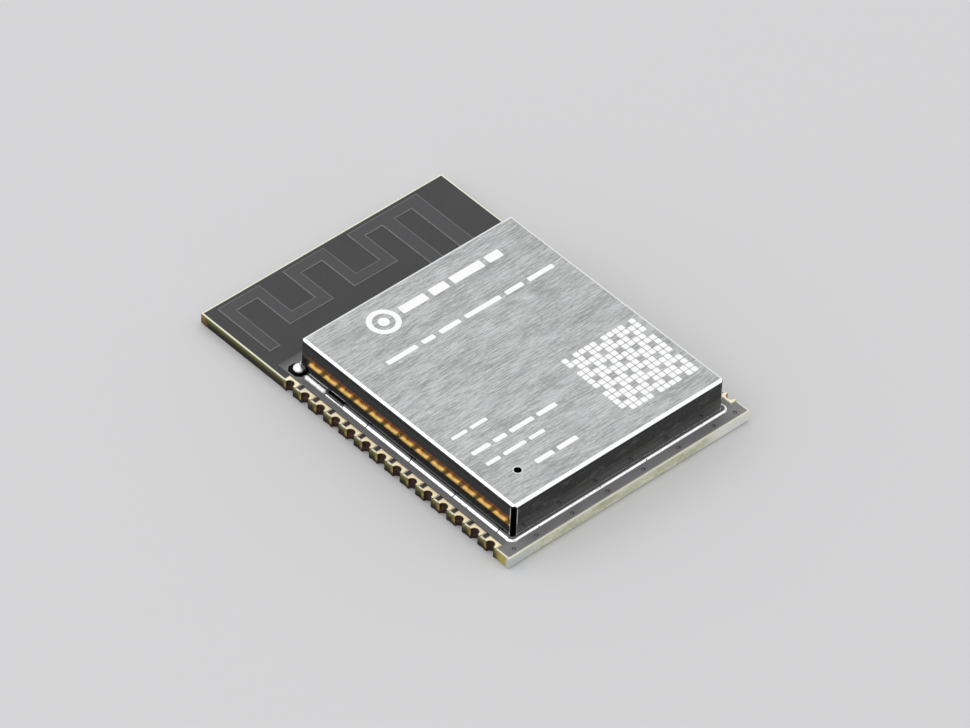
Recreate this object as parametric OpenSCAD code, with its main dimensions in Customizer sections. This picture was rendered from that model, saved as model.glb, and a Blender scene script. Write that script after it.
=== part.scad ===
// Wireless module: a castellated circuit board with a printed antenna at its rear end and a
// folded, soldered shield over the parts. Millimetres. The origin is the middle of the footprint
// at the underside; +X runs across the board, +Y along it towards the antenna, +Z up.

/* [Board] */
// Width of the board, across its two rows of contacts
board_w = 18; // [17:0.1:21]
// Length of the board, antenna end included
board_l = 25.5; // [25:0.1:30]
// Thickness of the finished board, with copper and mask on both faces
board_t = 0.8; // [0.6:0.05:1.6]
// Thickness of the copper on each face
copper_t = 0.035; // [0.018:0.001:0.07]
// Thickness of the solder mask
mask_t = 0.02; // [0.01:0.001:0.04]
// Bare laminate left between the mask and the edge of the board
mask_pullback = 0.1; // [0.05:0.01:0.2]
// Width of the slope where the mask comes down from copper to laminate
mask_step = 0.05; // [0.03:0.005:0.06]
// Distance that copper keeps from the edge of the board
pour_inset = 0.17; // [0.15:0.01:0.2]
// Gap between copper of one net and the next
copper_gap = 0.15; // [0.1:0.01:0.2]
// Gap that the mask leaves round a land
mask_gap = 0.05; // [0.03:0.01:0.08]

/* [Antenna] */
// Length of the board's end that has no ground copper
antenna_l = 6; // [5.5:0.1:8]
// Width of the antenna's meandering trace
trace_w = 0.66; // [0.5:0.01:0.9]
// Distance from the rear edge of the board to the trace
trace_rear = 0.41; // [0.25:0.01:0.6]
// Distance from the left edge of the board to the trace
trace_side = 0.94; // [0.6:0.01:1.2]
// Depth of the meander, from its rear bars to its front bars
meander_l = 3.43; // [2.5:0.01:4]
// Extra length of the open end, past the front bars
tail_l = 0.95; // [0.4:0.05:1.2]
// Spacing of two legs that are joined by a rear bar
rear_loop = 2.3; // [1.8:0.01:2.4]
// Spacing of two legs that are joined by a front bar
front_loop = 2.5; // [1.8:0.01:2.6]
// Width of the leg that feeds the antenna
feed_w = 0.83; // [0.5:0.01:1.1]
// Distance from the last leg of the meander to the feed leg
feed_offset = 2.12; // [1.6:0.01:2.4]
// Width of the leg that ties the antenna to ground
ground_leg_w = 0.93; // [0.5:0.01:1.1]
// Distance from the feed leg to the ground leg
ground_leg_offset = 2.26; // [1.6:0.01:2.6]

/* [Contacts] */
// Width of each contact's lands
pad_w = 0.9; // [0.75:0.01:0.95]
// Depth of the land on the top face, from the edge of the board
pad_top_l = 0.42; // [0.38:0.01:0.5]
// Depth of the land on the underside, from the edge of the board
pad_bottom_l = 0.85; // [0.7:0.01:1]
// Diameter of the plated half hole
half_hole_d = 0.55; // [0.45:0.01:0.6]
// Thickness of the plating in the half hole
plating_t = 0.03; // [0.02:0.005:0.04]
// Distance from the front edge of the board to the first contact
first_pad = 1.5; // [1.3:0.01:1.7]
// Distance from the last contact to the antenna's end of the ground copper
last_pad = 1.49; // [1.3:0.01:1.7]

/* [Thermal pad] */
// Side of each of the nine windows in the pad
window_w = 0.9; // [0.7:0.01:1.1]
// Gap between the windows
window_gap = 0.5; // [0.4:0.01:0.7]
// Distance of the pad towards the antenna from the middle of the rows of contacts
pad_lead = 0.535; // [0.3:0.005:0.8]
// Distance of the pad to the left of the centre line
pad_shift = 1.5; // [1:0.01:1.8]
// Corner cut off the window that is nearest to the first contact
key_cut = 0.3; // [0.1:0.01:0.5]

/* [Ground vias] */
// Bore of each plated via
via_d = 0.3; // [0.2:0.01:0.34]
// Thickness of the plating in a via
via_plating_t = 0.025; // [0.015:0.001:0.03]
// Distance from the front edge of the board to the row of vias
via_front = 0.4; // [0.38:0.01:0.45]
// Distance from one via to the next along the front row
via_pitch = 2.65; // [2.3:0.01:2.8]
// Distance from the side edge of the board to the row's end vias
via_side = 0.75; // [0.6:0.01:0.9]
// Depth of the hollow that the mask leaves over a via
dimple_h = 0.05; // [0.03:0.001:0.06]
// Depth to which the mask runs down into a via
plug_l = 0.12; // [0.08:0.01:0.2]

/* [Shield] */
// Height of the whole module
module_h = 3.2; // [2.9:0.05:4]
// Thickness of the shield's sheet
sheet_t = 0.2; // [0.1:0.01:0.25]
// Outer radius of the shield's bends
bend_r = 0.25; // [0.24:0.01:0.4]
// Distance from the side edge of the board to the shield
shield_side = 1.1; // [1:0.01:1.5]
// Distance from the front edge of the board to the shield
shield_front = 0.9; // [0.85:0.01:1.2]
// Distance from the antenna's end of the ground copper to the shield
shield_rear = 1; // [0.7:0.01:1.2]
// Length that each wall stops short of the corner
corner_relief = 0.25; // [0.22:0.01:0.35]
// Diameter of the vent hole in the top
vent_d = 0.46; // [0.3:0.01:0.8]
// Distance from the left wall to the vent hole
vent_side = 2.18; // [1:0.01:3]
// Distance from the front wall to the vent hole
vent_front = 2.1; // [1:0.01:3]

/* [Shield feet] */
// Length of the long notch near each side wall's rear end
long_notch_l = 1.9; // [1.7:0.01:2.2]
// Height of the long notch
long_notch_h = 0.3; // [0.2:0.01:0.5]
// Distance from the rear wall to the long notch
long_notch_rear = 0.5; // [0.4:0.01:0.8]
// Foot left standing between the long notch and the next one
foot_l = 0.16; // [0.12:0.01:0.4]
// Length of the second notch
second_notch_l = 1.3; // [1:0.01:1.6]
// Height of the second notch
second_notch_h = 0.38; // [0.25:0.01:0.6]
// Length of each small notch further along the side walls
small_notch_l = 0.6; // [0.4:0.01:0.8]
// Height of each small notch
small_notch_h = 0.28; // [0.24:0.01:0.4]
// Distance from the rear wall to the first small notch
small_notch_rear = 5.85; // [5.6:0.01:6.2]
// Distance from the front wall to the last small notch
small_notch_front = 1.01; // [0.8:0.01:1.4]
// Room on each side of the feed leg where it passes under the rear wall
feed_notch_gap = 0.4; // [0.3:0.01:0.8]
// Height of the notch over the feed leg
feed_notch_h = 0.45; // [0.3:0.01:0.8]

/* [Solder] */
// Width of the solder bead along the side walls
side_bead_w = 0.25; // [0.2:0.01:0.28]
// Height of the solder bead along the side walls
side_bead_h = 0.2; // [0.15:0.01:0.22]
// Width of the solder bead along the front and rear walls
end_bead_w = 0.18; // [0.14:0.01:0.22]
// Height of the solder bead along the front and rear walls
end_bead_h = 0.17; // [0.12:0.01:0.22]
// Height of the solder in the two front corners
corner_bead_h = 0.22; // [0.15:0.01:0.3]
// Distance that this solder stands out past the beads it joins
corner_bulge = 0.03; // [0.02:0.01:0.06]
// Thickness of a bead where it runs out
bead_lip = 0.03; // [0.02:0.005:0.05]
// Gap between two lengths of bead at a small notch
bead_joint = 0.07; // [0.04:0.01:0.15]
// Distance that the solder reaches in behind the wall
solder_inside = 0.08; // [0.05:0.01:0.15]
// Width of the flat solder patch in front of the long notch
patch_w = 0.32; // [0.25:0.01:0.36]
// Height of the flat solder patch
patch_h = 0.12; // [0.05:0.01:0.18]
// Diameter of the solder drop in each rear corner
drop_d = 0.48; // [0.4:0.01:0.49]
// Height to which the solder has crept up the rear corners
creep_h = 0.55; // [0.4:0.01:0.8]

/* [Parts under the shield] */
// Thickness of the solder under each part
paste_t = 0.03; // [0.02:0.005:0.05]
// Side of the main chip's square package
soc_w = 5; // [4.8:0.1:5.4]
// Height of the main chip's package
soc_h = 0.85; // [0.6:0.01:1]
// Distance from each corner of the main chip to its first terminal
soc_corner = 0.7; // [0.65:0.01:0.8]
// Side of the main chip's exposed pad
soc_pad_w = 3.4; // [3:0.1:3.5]
// Width of the memory chip's body
flash_w = 3.9; // [3.6:0.1:4.1]
// Length of the memory chip's body
flash_l = 4.9; // [4.8:0.1:5.1]
// Height of the memory chip's body
flash_h = 1.4; // [1:0.05:1.5]
// Distance across the memory chip's leads
flash_span = 6; // [5.8:0.1:6.2]
// Width of each lead of the memory chip
lead_w = 0.42; // [0.3:0.01:0.5]
// Thickness of each lead of the memory chip
lead_t = 0.2; // [0.12:0.01:0.25]
// Length of the crystal's package
crystal_l = 3.2; // [3:0.1:3.3]
// Width of the crystal's package
crystal_w = 2.5; // [2:0.1:2.6]
// Height of the crystal's package, lid included
crystal_h = 0.75; // [0.6:0.01:1]
// Thickness of the crystal's lid
crystal_lid_t = 0.2; // [0.15:0.01:0.3]
// Length of each capacitor, resistor and coil
chip_l = 1; // [0.9:0.01:1.05]
// Width of each capacitor, resistor and coil
chip_w = 0.5; // [0.45:0.01:0.55]
// Height of each capacitor
capacitor_h = 0.5; // [0.4:0.01:0.6]
// Height of each resistor
resistor_h = 0.35; // [0.3:0.01:0.45]
// Height of each coil
inductor_h = 0.55; // [0.4:0.01:0.6]
// Length of the metal end on each capacitor, resistor and coil
cap_l = 0.25; // [0.15:0.01:0.28]
// Thickness of that metal end
cap_t = 0.02; // [0.01:0.005:0.03]
// Distance between the parts that stand in one column
part_pitch = 1.3; // [1.25:0.01:1.35]
// Room between the main chip and the columns of small parts
column_gap = 1.2; // [1:0.01:1.3]

/* [Hidden] */
$fn = 48;
eps = 0.01;

side_pads = 14;                 // contacts along each side
soc_pins = 10;                  // terminals along each side of the main chip
flash_pins = 4;                 // leads along each side of the memory chip
flash_pitch = 1.27;
legs = 5;                       // legs of the meander
row_vias = 6;                   // front vias between the two end ones
small_notches = 4;

// Levels of the board
copper_low = mask_t;
laminate_low = mask_t + copper_t;
laminate_high = board_t - mask_t - copper_t;
copper_high = board_t - mask_t;
seat_z = copper_high + paste_t;         // underside of each part under the shield

// Edges of the board and of the ground copper
edge_x = board_w / 2;
front_y = -board_l / 2;
rear_y = board_l / 2;
ground_rear = rear_y - antenna_l;
ground_x = edge_x - pad_top_l - copper_gap;
ground_low_x = edge_x - pad_bottom_l - copper_gap;
ground_shoulder = front_y + first_pad - pad_w / 2 - copper_gap;

// Antenna
meander_rear = rear_y - trace_rear;
meander_front = meander_rear - meander_l;
function leg_x(i) = trace_side + trace_w / 2 - edge_x + ceil(i / 2) * rear_loop
    + floor(i / 2) * front_loop;
feed_x = leg_x(legs - 1) + feed_offset;
ground_leg_x = feed_x + ground_leg_offset;

// Contacts, numbered down the left side and up the right side
pad_count = 2 * side_pads;
drill_r = half_hole_d / 2 + plating_t;
function pad_side(i) = i <= side_pads ? -1 : 1;
function pad_row(i) = i <= side_pads ? side_pads - i : i - side_pads - 1;
pad_pitch = (board_l - antenna_l - first_pad - last_pad) / (side_pads - 1);
function pad_y(i) = front_y + first_pad + pad_row(i) * pad_pitch;
function pad_name(i) = str("castellation_", i < 10 ? "0" : "", i);

// Thermal pad
pad_x = -pad_shift;
pad_mid_y = (pad_y(1) + pad_y(side_pads)) / 2 + pad_lead;
window_pitch = window_w + window_gap;
thermal_w = 3 * window_w + 2 * window_gap;

// Vias: a row along the front edge, and four between the windows of the thermal pad
via_r = via_d / 2;
barrel_r = via_r + via_plating_t;
row_start = -(row_vias - 1) / 2 * via_pitch;
front_vias = concat(
    [for (s = [-1, 1]) [s * (edge_x - via_side), front_y + via_front]],
    [for (i = [0:row_vias - 1]) [row_start + i * via_pitch, front_y + via_front]]
);
thermal_vias = [for (x = [-1, 1], y = [-1, 1])
    [pad_x + x * window_pitch / 2, pad_mid_y + y * window_pitch / 2]];
all_vias = concat(front_vias, thermal_vias);

// Shield
shield_x = edge_x - shield_side;
shield_y0 = front_y + shield_front;
shield_y1 = ground_rear - shield_rear;
shield_mid_y = (shield_y0 + shield_y1) / 2;
shield_w = 2 * shield_x;
shield_l = shield_y1 - shield_y0;
ceiling_z = module_h - sheet_t;
long_notch_y = shield_y1 - long_notch_rear;                 // rear end of the long notch
second_notch_y = long_notch_y - long_notch_l - foot_l;      // rear end of the second notch
bead_start = second_notch_y - second_notch_l;
bead_end = shield_y0 + corner_relief;
small_notch_pitch = (shield_l - small_notch_rear - small_notch_front) / (small_notches - 1);
function small_notch_y(i) = shield_y1 - small_notch_rear - i * small_notch_pitch;
feed_notch_x = feed_w / 2 + feed_notch_gap;
slit_r = 0.75 * corner_relief;          // round end of each corner slit
slit_cover = 0.03;              // sheet left over that round end

// Parts under the shield
soc_x = pad_x;
soc_y = pad_mid_y;
soc_pitch = (soc_w - 2 * soc_corner) / (soc_pins - 1);
soc_land_l = 0.55;
soc_land_w = 0.22;
soc_land_out = 0.2;             // length of each land outside the package
soc_land_side = 0.01;           // width of each land on either side of its terminal
soc_terminal_l = 0.4;
soc_frame_t = 0.2;
soc_dot_d = 0.5;                // mark by the first terminal
soc_dot_side = 0.6;
soc_dot_t = 0.05;
flash_x = soc_x;
flash_y = (shield_y0 + sheet_t + soc_y - soc_w / 2 - soc_land_out) / 2;
flash_standoff = 0.1;
flash_draft = 0.12;
flash_dot_d = 0.6;
flash_dot_side = 0.7;
flash_dot_t = 0.06;
flash_land_out = 0.2;           // length of each land past either end of the lead's foot
flash_land_side = 0.1;
lead_foot = 0.6;
lead_shoulder = 0.22;
lead_root = 0.25;               // length of each lead inside the body
crystal_gap = 0.7;              // from the side of the main chip to the crystal
crystal_x = soc_x - soc_w / 2 - crystal_gap - crystal_w / 2;
crystal_land_l = 1.1;
crystal_land_w = 0.9;
crystal_corner_r = 0.2;
crystal_brim = 0.3;             // what each step of the lid is narrower than the one below
chip_land_l = 0.5;
chip_land_w = 0.55;
part_gap = 0.5;                 // between the lands of two columns
match_gap = 0.2;                // between the lands of two parts in line
feed_land_in = 1.1;             // from the outside of the rear wall to the end of the feed leg
feed_gap = 0.2;                 // gap between the feed leg and the ground copper
left_parts = 6;
right_parts = 5;
pair_l = chip_l + chip_land_l;  // from end to end of a small part's two lands
column_x = soc_w / 2 + column_gap + chip_l / 2;
column_drop = 0.6;              // from the rear of the main chip to the middle of the first part
column_top = soc_y + soc_w / 2 - column_drop;
crystal_y = (column_top + chip_land_w / 2 + shield_y1 - sheet_t) / 2;
feed_land_y = shield_y1 - feed_land_in;
match_y = feed_land_y - pair_l / 2;     // first part of the matching network
match_x = feed_x + (chip_land_w + pair_l) / 2 + part_gap;
coil_y = column_top - right_parts * part_pitch - pair_l / 2;

// Each site is a position and a turn
function column(x, count) = [for (i = [0:count - 1]) [x, column_top - i * part_pitch, 0]];
capacitor_sites = concat(
    column(soc_x - column_x, left_parts),
    column(soc_x + column_x, right_parts),
    [for (i = [0, 1]) [match_x, match_y - pair_l / 2 - i * (pair_l + match_gap), 0]]
);
resistor_sites = column(soc_x + column_x + pair_l + part_gap, right_parts);
inductor_sites = concat(
    [for (i = [0, 1]) [feed_x, match_y - i * (pair_l + match_gap), 90]],
    [for (i = [0, 1]) [soc_x + column_x + i * (pair_l + part_gap), coil_y, 90]]
);
chip_sites = concat(capacitor_sites, resistor_sites, inductor_sites);

// ---- Helpers ----

// Rectangle between two corners, grown on all sides
module rect(x0, y0, x1, y1, grow = 0)
    translate([x0 - grow, y0 - grow]) square([x1 - x0 + 2 * grow, y1 - y0 + 2 * grow]);

// Rectangle about a middle, grown on all sides
module mid_rect(x, y, w, l, grow = 0)
    translate([x, y]) square([w + 2 * grow, l + 2 * grow], center = true);

module layer(z0, z1) translate([0, 0, z0]) linear_extrude(z1 - z0) children();

module at_sites(sites) for (s = sites) translate([s[0], s[1], 0]) rotate(s[2]) children();

module both_sides() for (s = [0, 1]) mirror([s, 0, 0]) children();

// ---- Plans of the board's layers ----

module board_plan(inset = 0) mid_rect(0, 0, board_w, board_l, -inset);

// The antenna: legs, bars, feed leg and ground leg
module antenna_plan(grow = 0) {
    half = trace_w / 2;
    for (i = [0:legs - 1]) {
        start = i == 0 ? meander_front - tail_l : meander_front;
        rect(leg_x(i) - half, start, leg_x(i) + half, meander_rear, grow);
    }
    for (i = [0:2:legs - 2])
        rect(leg_x(i) - half, meander_rear - trace_w, leg_x(i + 1) + half, meander_rear, grow);
    for (i = [1:2:legs - 2])
        rect(leg_x(i) - half, meander_front, leg_x(i + 1) + half, meander_front + trace_w, grow);
    rect(leg_x(legs - 1) - half, meander_rear - trace_w,
        ground_leg_x + ground_leg_w / 2, meander_rear, grow);
    rect(feed_x - feed_w / 2, feed_land_y, feed_x + feed_w / 2, meander_rear, grow);
    rect(ground_leg_x - ground_leg_w / 2, ground_rear - trace_w,
        ground_leg_x + ground_leg_w / 2, meander_rear, grow);
}

// Ground copper on the top face, open round the feed leg and every land
module ground_plan(grow = 0) difference() {
    union() {
        rect(-ground_x, front_y + pour_inset, ground_x, ground_rear, grow);
        rect(pour_inset - edge_x, front_y + pour_inset, edge_x - pour_inset, ground_shoulder,
            grow);
    }
    rect(feed_x - feed_w / 2, feed_land_y, feed_x + feed_w / 2, ground_rear + 1,
        feed_gap - grow);
    mid_rect(soc_x, soc_y, soc_w, soc_w, soc_land_out + copper_gap - grow);
    flash_land_rows(copper_gap - grow);
    mid_rect(crystal_x, crystal_y, crystal_w, crystal_l, copper_gap - grow);
    at_sites(chip_sites)
        mid_rect(0, 0, pair_l, chip_land_w, copper_gap - grow);
}

module top_copper_plan(grow = 0) {
    antenna_plan(grow);
    ground_plan(grow);
}

module bottom_ground_plan(grow = 0) {
    rect(-ground_low_x, front_y + pour_inset, ground_low_x, ground_rear, grow);
    rect(pour_inset - edge_x, front_y + pour_inset, edge_x - pour_inset, ground_shoulder, grow);
}

module soc_lands(grow = 0)
    translate([soc_x, soc_y]) for (turn = [0:90:270], i = [0:soc_pins - 1]) rotate(turn)
        mid_rect(soc_w / 2 + soc_land_out - soc_land_l / 2, (i - (soc_pins - 1) / 2) * soc_pitch,
            soc_land_l, soc_land_w, grow);

module soc_land_rows(grow = 0)
    translate([soc_x, soc_y]) for (turn = [0:90:270]) rotate(turn)
        mid_rect(soc_w / 2 + soc_land_out - soc_land_l / 2, 0,
            soc_land_l, (soc_pins - 1) * soc_pitch + soc_land_w, grow);

module flash_lands(grow = 0)
    translate([flash_x, flash_y]) for (s = [-1, 1], i = [0:flash_pins - 1])
        mid_rect(s * (flash_span - lead_foot) / 2, (i - (flash_pins - 1) / 2) * flash_pitch,
            lead_foot + 2 * flash_land_out, lead_w + 2 * flash_land_side, grow);

module flash_land_rows(grow = 0)
    translate([flash_x, flash_y]) for (s = [-1, 1])
        mid_rect(s * (flash_span - lead_foot) / 2, 0, lead_foot + 2 * flash_land_out,
            (flash_pins - 1) * flash_pitch + lead_w + 2 * flash_land_side, grow);

module crystal_lands(grow = 0)
    translate([crystal_x, crystal_y]) for (x = [-1, 1], y = [-1, 1])
        mid_rect(x * (crystal_w - crystal_land_w) / 2, y * (crystal_l - crystal_land_l) / 2,
            crystal_land_w, crystal_land_l, grow);

module chip_lands(grow = 0)
    at_sites(chip_sites) for (s = [-1, 1])
        mid_rect(s * chip_l / 2, 0, chip_land_l, chip_land_w, grow);

module land_plan() {
    soc_lands();
    mid_rect(soc_x, soc_y, soc_pad_w, soc_pad_w);
    flash_lands();
    crystal_lands();
    chip_lands();
}

// Openings in the top mask over the lands
module land_windows() {
    soc_land_rows(mask_gap);
    mid_rect(soc_x, soc_y, soc_pad_w, soc_pad_w, mask_gap);
    flash_lands(mask_gap);
    crystal_lands(mask_gap);
    chip_lands(mask_gap);
}

// Openings over the contacts' lands, on either face
module pad_windows(depth)
    for (i = [1:pad_count])
        mid_rect(pad_side(i) * edge_x, pad_y(i), 2 * depth, pad_w, mask_gap);

module thermal_windows()
    for (x = [-1:1], y = [-1:1]) translate([pad_x + x * window_pitch, pad_mid_y + y * window_pitch])
        difference() {
            square(window_w, center = true);
            if (x == -1 && y == 1) translate([-window_w / 2, window_w / 2]) rotate(45)
                square(key_cut * sqrt(2), center = true);
        }

module via_plan(sites, r) for (s = sites) translate(s) circle(r = r);

// ---- Solder plans: the ground the solder covers, which is open in the mask ----

inner_x = shield_x - sheet_t - solder_inside;
patch_under = 0.16;             // distance that the patch reaches in under the wall
patch_end_gap = 0.15;           // from each end of the long notch to the patch
bridge_w = 0.1;

// Lengths of bead along the left wall, from one joint to the next
module side_lengths() {
    starts = concat([bead_start], [for (i = [0:small_notches - 1]) small_notch_y(i)]);
    ends = concat([for (i = [0:small_notches - 1]) small_notch_y(i)], [bead_end]);
    for (i = [0:small_notches]) {
        $y1 = starts[i] - (i == 0 ? 0 : bead_joint / 2);
        $y0 = ends[i] + (i == small_notches ? 0 : bead_joint / 2);
        children();
    }
}

module patch_plan() {
    x = -shield_x + patch_under - patch_w / 2;
    y0 = long_notch_y - long_notch_l + patch_end_gap + patch_w / 2;
    y1 = long_notch_y - patch_end_gap - patch_w / 2;
    mid_rect(x, (y0 + y1) / 2, patch_w, y1 - y0);
    for (y = [y0, y1]) translate([x, y]) circle(d = patch_w);
}

// Thin run of solder that bridges the second notch
module bridge_plan()
    rect(-shield_x - side_bead_w, bead_start, -shield_x - side_bead_w + bridge_w,
        second_notch_y + foot_l / 2);

module side_plan() {
    side_lengths() rect(-shield_x - side_bead_w, $y0, -inner_x, $y1);
    patch_plan();
    bridge_plan();
}

// Axis and radius of the rounded solder in each front corner
corner_r = corner_relief + end_bead_w + corner_bulge;
corner_x = shield_x + side_bead_w + corner_bulge - corner_r;

module corner_plan() intersection() {
    translate([-corner_x, bead_end]) circle(r = corner_r);
    rect(-corner_x - corner_r, bead_end - corner_r, -corner_x, bead_end);
}

module front_plan() {
    rect(-corner_x, shield_y0 - end_bead_w, corner_x, bead_end);
    both_sides() corner_plan();
}

// Ends of the two lengths of solder along the rear wall
rear_runs = [
    [-shield_x + corner_relief, feed_x - feed_notch_x],
    [feed_x + feed_notch_x, shield_x - corner_relief]
];

module rear_plan()
    for (run = rear_runs)
        rect(run[0], shield_y1 - sheet_t - solder_inside, run[1], shield_y1 + end_bead_w);

module drop_plan() both_sides() translate([-shield_x, shield_y1]) circle(d = drop_d);

creep_in = 0.1;                 // from each wall's outer face to the middle of the creep
creep_tip_r = 0.03;

// ---- The board ----

module laminate_core() color("#b9b48a")
    layer(laminate_low, laminate_high) difference() {
        board_plan();
        for (i = [1:pad_count]) translate([pad_side(i) * edge_x, pad_y(i)]) circle(r = drill_r);
        via_plan(all_vias, barrel_r);
    }

module antenna_and_ground_copper() color("#b87333")
    layer(laminate_high, copper_high) difference() {
        top_copper_plan();
        via_plan(front_vias, barrel_r);
    }

module component_lands() color("#e6c56a")
    layer(laminate_high, copper_high) difference() {
        land_plan();
        via_plan(thermal_vias, barrel_r);
    }

module ground_copper_bottom() color("#b87333")
    layer(copper_low, laminate_low) difference() {
        bottom_ground_plan();
        mid_rect(pad_x, pad_mid_y, thermal_w, thermal_w);
        via_plan(front_vias, barrel_r);
    }

module thermal_pad() color("#e6c56a")
    layer(copper_low, laminate_low) difference() {
        mid_rect(pad_x, pad_mid_y, thermal_w, thermal_w);
        via_plan(thermal_vias, barrel_r);
    }

module ground_vias() color("#b87333")
    layer(copper_low, copper_high) difference() {
        via_plan(all_vias, barrel_r);
        via_plan(all_vias, via_r);
    }

// One contact: a land on each face and the plated half hole between them
module castellation(i) color("#e6c56a")
    translate([pad_side(i) * edge_x, pad_y(i), 0]) mirror([pad_side(i) < 0 ? 1 : 0, 0, 0])
        difference() {
            union() {
                layer(laminate_high, copper_high) rect(-pad_top_l, -pad_w / 2, 0, pad_w / 2);
                layer(copper_low, laminate_low) rect(-pad_bottom_l, -pad_w / 2, 0, pad_w / 2);
                layer(copper_low, copper_high) intersection() {
                    circle(r = drill_r);
                    rect(-drill_r, -drill_r, 0, drill_r);
                }
            }
            layer(-eps, board_t + eps) circle(d = half_hole_d);
        }

// The mask lies over copper and laminate, plugs the front vias and sinks a little over each
module solder_mask_top() color("#2c2c30") {
    dimple_r = (via_r * via_r + dimple_h * dimple_h) / (2 * dimple_h);
    difference() {
        union() {
            layer(laminate_high, laminate_high + mask_t) board_plan(mask_pullback);
            layer(laminate_high, board_t) intersection() {
                top_copper_plan(mask_step);
                board_plan(mask_pullback);
            }
        }
        difference() {
            layer(laminate_high - eps, copper_high) top_copper_plan();
            layer(laminate_high - 2 * eps, copper_high + eps) via_plan(front_vias, via_r);
        }
        layer(laminate_high - eps, board_t + eps) {
            pad_windows(pad_top_l);
            land_windows();
            both_sides() side_plan();
            front_plan();
            rear_plan();
            drop_plan();
        }
        for (s = front_vias) translate([s[0], s[1], board_t - dimple_h + dimple_r])
            sphere(r = dimple_r);
    }
    layer(laminate_high - plug_l, laminate_high) via_plan(front_vias, via_r);
}

module solder_mask_bottom() color("#2c2c30")
    difference() {
        union() {
            layer(laminate_low - mask_t, laminate_low) board_plan(mask_pullback);
            layer(0, laminate_low) intersection() {
                bottom_ground_plan(mask_step);
                board_plan(mask_pullback);
            }
        }
        layer(copper_low, laminate_low + eps) bottom_ground_plan();
        layer(-eps, laminate_low + eps) {
            pad_windows(pad_bottom_l);
            thermal_windows();
        }
    }

// ---- The shield ----

// Flat-topped arch whose two upper corners are rounded
module arch(w, h, r) {
    rect(-w / 2, 0, w / 2, h - r);
    rect(r - w / 2, 0, w / 2 - r, h);
    for (s = [-1, 1]) translate([s * (w / 2 - r), h - r]) circle(r = r);
}

// Solid with the outline of the can, a given depth inside its outer faces
module can_block(depth) {
    base = depth == 0 ? board_t : board_t - eps;
    h = module_h - depth - base;
    translate([0, shield_mid_y, base]) intersection() {
        rotate([90, 0, 0]) linear_extrude(shield_l - 2 * depth, center = true)
            arch(shield_w - 2 * depth, h, bend_r - depth);
        rotate([90, 0, 90]) linear_extrude(shield_w - 2 * depth, center = true)
            arch(shield_l - 2 * depth, h, bend_r - depth);
    }
}

// Gap between two walls at a corner, with a round top that ends in the bend
module corner_slit() {
    top = module_h - slit_cover - slit_r;
    translate([-corner_relief, -corner_relief, board_t - eps])
        cube([corner_relief + eps, corner_relief + eps, top - board_t + eps]);
    translate([0, 0, top]) rotate([90, 0, 135])
        cylinder(r = slit_r, h = 3 * corner_relief, center = true);
}

// Notch through both side walls, open at the foot
module side_notch(y1, l, h)
    translate([-shield_x - eps, y1 - l, board_t - eps])
        cube([shield_w + 2 * eps, l, h + eps]);

module shield_can() color("#c9cbcd") difference() {
    can_block(0);
    can_block(sheet_t);
    for (sx = [-1, 1], sy = [-1, 1])
        translate([sx * shield_x, sy > 0 ? shield_y1 : shield_y0, 0])
            mirror([sx < 0 ? 1 : 0, 0, 0]) mirror([0, sy < 0 ? 1 : 0, 0]) corner_slit();
    side_notch(long_notch_y, long_notch_l, long_notch_h);
    side_notch(second_notch_y, second_notch_l, second_notch_h);
    for (i = [0:small_notches - 1])
        side_notch(small_notch_y(i) + small_notch_l / 2, small_notch_l, small_notch_h);
    translate([feed_x - feed_notch_x, shield_y1 - sheet_t - eps, board_t - eps])
        cube([2 * feed_notch_x, sheet_t + 2 * eps, feed_notch_h + eps]);
    translate([-shield_x + vent_side, shield_y0 + vent_front, ceiling_z - eps])
        cylinder(d = vent_d, h = sheet_t + 2 * eps);
}

// Hollow solder bead in the corner of a wall at x = 0 and a floor at y = 0
module bead(w, h) {
    chord = [bead_lip - w, h - bead_lip];
    half = norm(chord) / 2;
    r = 2.4 * half;
    mid = [w + bead_lip, h + bead_lip] / 2;
    centre = mid + [chord[1], -chord[0]] / norm(chord) * sqrt(r * r - half * half);
    difference() {
        square([w, h]);
        translate(centre) circle(r = r);
    }
}

module side_bead() color("#e8e9ea") {
    layer(copper_high, board_t) side_plan();
    side_lengths() translate([-shield_x, $y1, board_t]) rotate([90, 0, 0])
        linear_extrude($y1 - $y0) mirror([1, 0]) bead(side_bead_w, side_bead_h);
    layer(board_t, board_t + patch_h) intersection() {
        patch_plan();
        side_foot_room();
    }
    layer(board_t, board_t + bead_lip) bridge_plan();
}

// Ground in front of the left wall and inside its long notch
module side_foot_room() {
    rect(-edge_x, shield_y0, -shield_x, shield_y1);
    rect(-edge_x, long_notch_y - long_notch_l, 0, long_notch_y);
}

module shield_solder_left() side_bead();

module shield_solder_right() mirror([1, 0, 0]) side_bead();

module shield_solder_front() color("#e8e9ea") {
    layer(copper_high, board_t) front_plan();
    translate([-corner_x, shield_y0, board_t]) rotate([90, 0, 90])
        linear_extrude(2 * corner_x) mirror([1, 0]) bead(end_bead_w, end_bead_h);
    both_sides() translate([-corner_x, bead_end, board_t]) rotate(180)
        rotate_extrude(angle = 90) {
            square([corner_r - side_bead_w, corner_bead_h]);
            translate([corner_r - side_bead_w, 0]) bead(side_bead_w, corner_bead_h);
        }
}

module shield_solder_rear() color("#e8e9ea") {
    layer(copper_high, board_t) rear_plan();
    for (run = rear_runs) translate([run[0], shield_y1, board_t]) rotate([90, 0, 90])
        linear_extrude(run[1] - run[0]) bead(end_bead_w, end_bead_h);
}

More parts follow.
